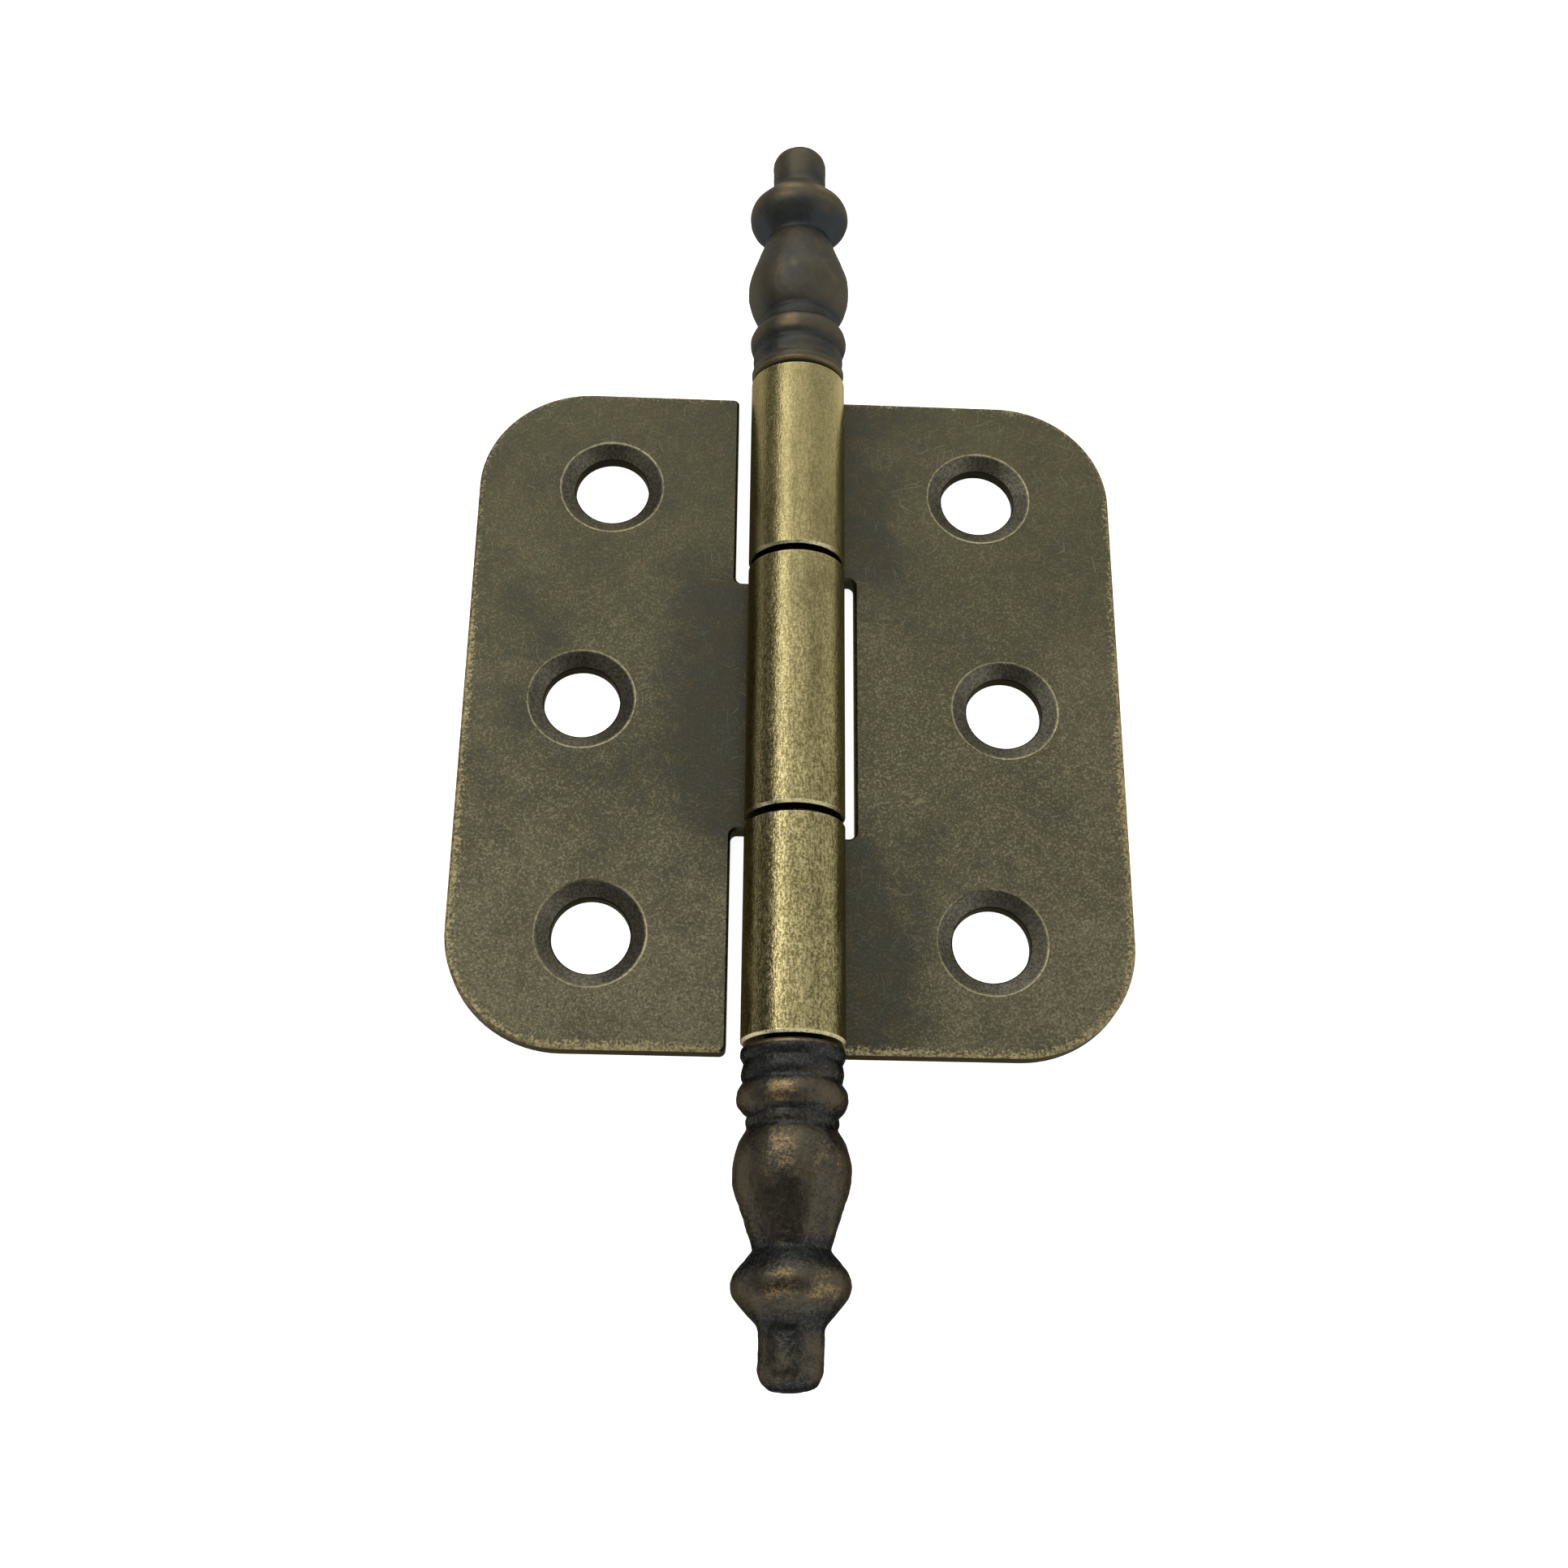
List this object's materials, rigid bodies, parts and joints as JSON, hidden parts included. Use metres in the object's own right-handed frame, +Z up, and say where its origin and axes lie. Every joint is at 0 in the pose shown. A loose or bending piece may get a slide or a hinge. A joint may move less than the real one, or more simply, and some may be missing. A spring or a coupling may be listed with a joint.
{
  "type": "finial butt hinge",
  "caption": "Butt hinge for a cabinet door with two countersunk leaves of rolled sheet and a cast minaret tip on each end of the barrel.",
  "frame": {"origin": "on the pin's axis, at the middle of the barrel", "axes": "+Y along the pin to the upper finial, +X across the leaf with the two end knuckles, +Z up from the leaves' countersunk faces, with the hinge open flat"},
  "size_m": [0.046, 0.0926, 0.0074],
  "materials": {
    "right_leaf": "antiqued satin brass",
    "left_leaf": "antiqued satin brass",
    "hinge_pin": "drawn wire",
    "upper_finial": "blackened cast brass, rubbed on its high places",
    "lower_finial": "blackened cast brass, rubbed on its high places"
  },
  "bodies": {
    "right_leaf": {"right_leaf": "right_leaf"},
    "left_leaf": {"left_leaf": "left_leaf"},
    "pin": {"hinge_pin": "hinge_pin", "upper_finial": "upper_finial", "lower_finial": "lower_finial"}
  },
  "joints": [
    {"name": "leaf_fold", "type": "hinge", "parent": "right_leaf", "child": "left_leaf", "pos_m": [0, 0, 0], "axis": [0, 1, 0], "range_deg": [-100, 180]},
    {"name": "pin_turn", "type": "hinge", "parent": "right_leaf", "child": "pin", "pos_m": [0, 0, 0], "axis": [0, 1, 0], "continuous": true}
  ]
}
